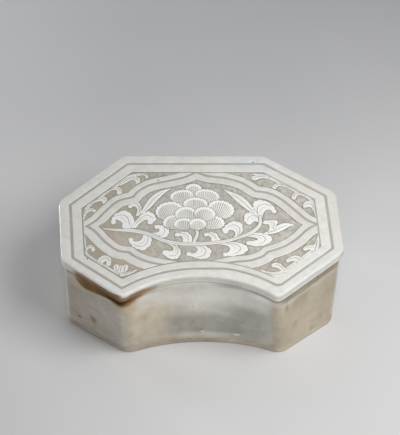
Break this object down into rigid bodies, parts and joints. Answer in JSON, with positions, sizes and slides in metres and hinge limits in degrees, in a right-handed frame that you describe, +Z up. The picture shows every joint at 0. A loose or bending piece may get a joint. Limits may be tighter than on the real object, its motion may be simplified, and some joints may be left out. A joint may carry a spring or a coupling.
{
  "type": "ceramic pillow",
  "caption": "Hollow slab-built ceramic pillow with an angular outline and a hollow front, its sloping headrest carved through white slip with a peony and leaf scroll in a lobed panel.",
  "frame": {"origin": "middle of the underside, below the middle of the object's box", "axes": "+X to the right along the length, +Y from the hollow front to the back, +Z up"},
  "size_m": [0.254, 0.1628, 0.0929],
  "materials": {
    "white_slip": "white slip under a thin clear glaze, satin gloss",
    "carved_ground": "grey-buff body laid bare by the carving, thinly glazed",
    "wall_glaze": "cream slip and clear glaze with grey pooling and iron stains",
    "bare_clay": "buff stoneware, fired and unglazed",
    "inner_clay": "raw luting clay inside the box"
  },
  "bodies": {
    "root": {"base_slab": "bare_clay", "front_wall": "bare_clay", "front_left_wall": "bare_clay", "left_end_wall": "bare_clay", "back_left_wall": "bare_clay", "back_wall": "bare_clay", "back_right_wall": "bare_clay", "right_end_wall": "bare_clay", "front_right_wall": "bare_clay", "corner_coils": "inner_clay", "base_coil": "inner_clay", "headrest_luting": "inner_clay", "headrest_slab": "carved_ground", "wall_slip_coat": "wall_glaze", "rim_slip_band": "white_slip", "border_slip_band": "white_slip", "frame_outer_band": "white_slip", "frame_inner_band": "white_slip", "peony_bloom": "white_slip", "peony_stem": "white_slip", "left_leaf_scroll": "white_slip", "lower_leaf_scroll": "white_slip", "right_leaf_scroll": "white_slip", "back_left_spray": "white_slip", "back_right_spray": "white_slip", "front_left_spray": "white_slip", "front_right_spray": "white_slip"}
  },
  "joints": []
}
